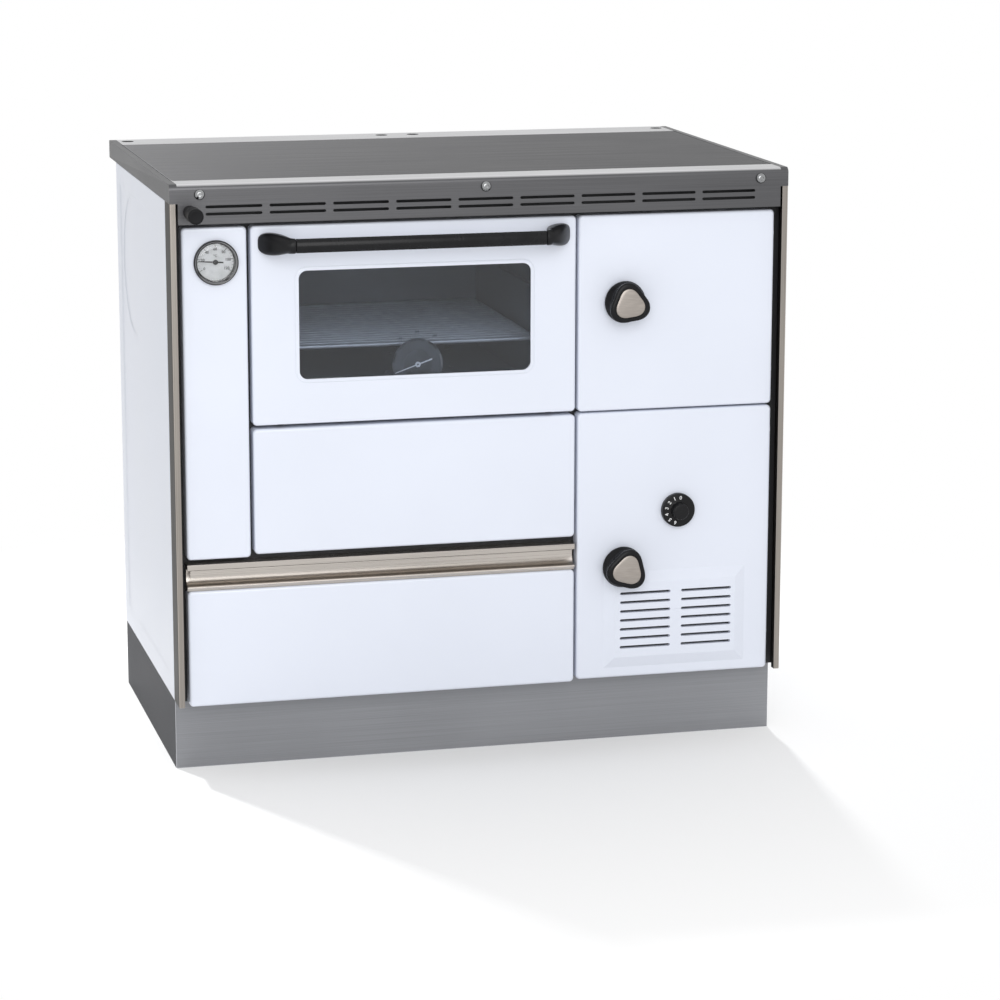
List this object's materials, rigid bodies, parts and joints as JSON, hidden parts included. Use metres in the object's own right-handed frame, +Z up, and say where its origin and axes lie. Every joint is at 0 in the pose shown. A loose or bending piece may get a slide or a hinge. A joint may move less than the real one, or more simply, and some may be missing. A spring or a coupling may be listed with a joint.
{
  "type": "wood cookstove",
  "caption": "Wood-fired kitchen cooker with a flush hob plate, glazed oven door, fire and ash doors, wood drawer, boiler and damper, on a plinth.",
  "frame": {"origin": "centre of the bounding box on the floor, under the plinth", "axes": "+Z up, -Y towards the doors at the front, +X to the right as seen from the front"},
  "size_m": [0.9, 0.655, 0.85],
  "materials": {
    "enamel": "white vitreous enamel, glossy",
    "casing": "white powder coat, satin",
    "steel": "brushed stainless steel",
    "fascia": "dark grey metallic enamel, satin",
    "trim": "satin nickel-plated strip",
    "hob": "ground steel hob plate",
    "frame": "black heat-resistant paint",
    "plastic": "black moulded thermoset",
    "nickel": "satin nickel",
    "chrome": "bright chrome plate",
    "glass": "clear heat-resistant glass",
    "dial": "printed dial plate",
    "muffle": "grey speckled oven enamel",
    "iron": "black cast iron and boiler plate",
    "sheet": "zinc-coated sheet steel",
    "plinth": "grey powder coat"
  },
  "bodies": {
    "casing": {"plinth": "plinth", "side_panel_left": "casing", "side_panel_right": "casing", "back_panel": "sheet", "front_frame": "frame", "corner_trim_left": "trim", "corner_trim_right": "trim", "hob_frame": "fascia", "hob_plate": "hob", "rail_bolt_left": "chrome", "rail_bolt_middle": "chrome", "rail_bolt_right": "chrome", "narrow_panel": "enamel", "gauge_case": "plastic", "gauge_face": "dial", "gauge_glass": "glass", "oven_hinge_left": "steel", "oven_hinge_right": "steel", "oven_muffle": "muffle", "lower_panel": "enamel", "strip_rail": "steel", "drawer_runner_left": "sheet", "drawer_runner_right": "sheet", "fire_hinge_lower": "steel", "fire_hinge_upper": "steel", "ash_hinge_lower": "steel", "ash_hinge_upper": "steel", "boiler": "iron", "grate": "iron", "smoke_box": "iron", "flue_collar": "iron"},
    "damper": {"damper_knob": "plastic", "damper_rod": "steel", "damper_slide": "iron"},
    "gauge_needle": {"gauge_needle": "plastic"},
    "oven_door": {"oven_door_panel": "enamel", "oven_door_liner": "frame", "oven_door_glass": "glass", "oven_handle_bar": "plastic", "oven_handle_foot_left": "plastic", "oven_handle_foot_right": "plastic", "oven_meter": "dial"},
    "oven_meter_needle": {"oven_meter_needle": "dial"},
    "oven_rack": {"oven_rack": "chrome"},
    "drawer": {"drawer_front": "enamel", "drawer_grip": "steel", "drawer_box": "sheet"},
    "fire_door": {"fire_door_panel": "enamel", "fire_door_liner": "iron"},
    "fire_latch": {"fire_knob": "plastic", "fire_knob_cap": "nickel", "fire_latch": "steel"},
    "ash_door": {"ash_door_panel": "enamel", "ash_door_liner": "iron"},
    "ash_latch": {"ash_knob": "plastic", "ash_knob_cap": "nickel", "ash_latch": "steel"},
    "thermostat_dial": {"thermostat_dial": "plastic"},
    "air_flap": {"air_flap": "iron"},
    "ash_pan": {"ash_pan": "sheet"}
  },
  "joints": [
    {"name": "damper_pull", "type": "slide", "parent": "casing", "child": "damper", "axis": [0, -1, 0], "range_m": [0, 0.06]},
    {"name": "gauge_needle_turn", "type": "hinge", "parent": "casing", "child": "gauge_needle", "pos_m": [-0.3853, -0.2635, 0.7391], "axis": [0, 1, 0], "range_deg": [-30, 210]},
    {"name": "oven_door_swing", "type": "hinge", "parent": "casing", "child": "oven_door", "pos_m": [0, -0.2565, 0.5094], "axis": [1, 0, 0], "range_deg": [0, 90]},
    {"name": "oven_meter_needle_turn", "type": "hinge", "parent": "oven_door", "child": "oven_meter_needle", "pos_m": [-0.0955, -0.2515, 0.5816], "axis": [0, 1, 0], "range_deg": [0, 216]},
    {"name": "oven_rack_slide", "type": "slide", "parent": "casing", "child": "oven_rack", "axis": [0, -1, 0], "range_m": [0, 0.19]},
    {"name": "drawer_slide", "type": "slide", "parent": "casing", "child": "drawer", "axis": [0, -1, 0], "range_m": [0, 0.4]},
    {"name": "fire_door_swing", "type": "hinge", "parent": "casing", "child": "fire_door", "pos_m": [0.425, -0.2535, 0.5031], "axis": [0, 0, 1], "range_deg": [0, 100]},
    {"name": "fire_latch_turn", "type": "hinge", "parent": "fire_door", "child": "fire_latch", "pos_m": [0.2073, -0.2635, 0.6621], "axis": [0, -1, 0], "range_deg": [0, 90]},
    {"name": "ash_door_swing", "type": "hinge", "parent": "casing", "child": "ash_door", "pos_m": [0.425, -0.2535, 0.1029], "axis": [0, 0, 1], "range_deg": [0, 100]},
    {"name": "ash_latch_turn", "type": "hinge", "parent": "ash_door", "child": "ash_latch", "pos_m": [0.2073, -0.2635, 0.2709], "axis": [0, -1, 0], "range_deg": [0, 90]},
    {"name": "thermostat_turn", "type": "hinge", "parent": "ash_door", "child": "thermostat_dial", "pos_m": [0.2908, -0.2635, 0.3519], "axis": [0, 1, 0], "range_deg": [0, 270]},
    {"name": "air_flap_swing", "type": "hinge", "parent": "ash_door", "child": "air_flap", "pos_m": [0, -0.2589, 0.2464], "axis": [1, 0, 0], "range_deg": [0, 8.2]},
    {"name": "ash_pan_slide", "type": "slide", "parent": "casing", "child": "ash_pan", "axis": [0, -1, 0], "range_m": [0, 0.105]}
  ],
  "couplings": [
    {"joint": "oven_rack_slide", "follows": "oven_door_swing", "m_per_rad": 0.12},
    {"joint": "ash_pan_slide", "follows": "ash_door_swing", "m_per_rad": 0.06},
    {"joint": "air_flap_swing", "follows": "thermostat_turn", "ratio": 0.03}
  ]
}
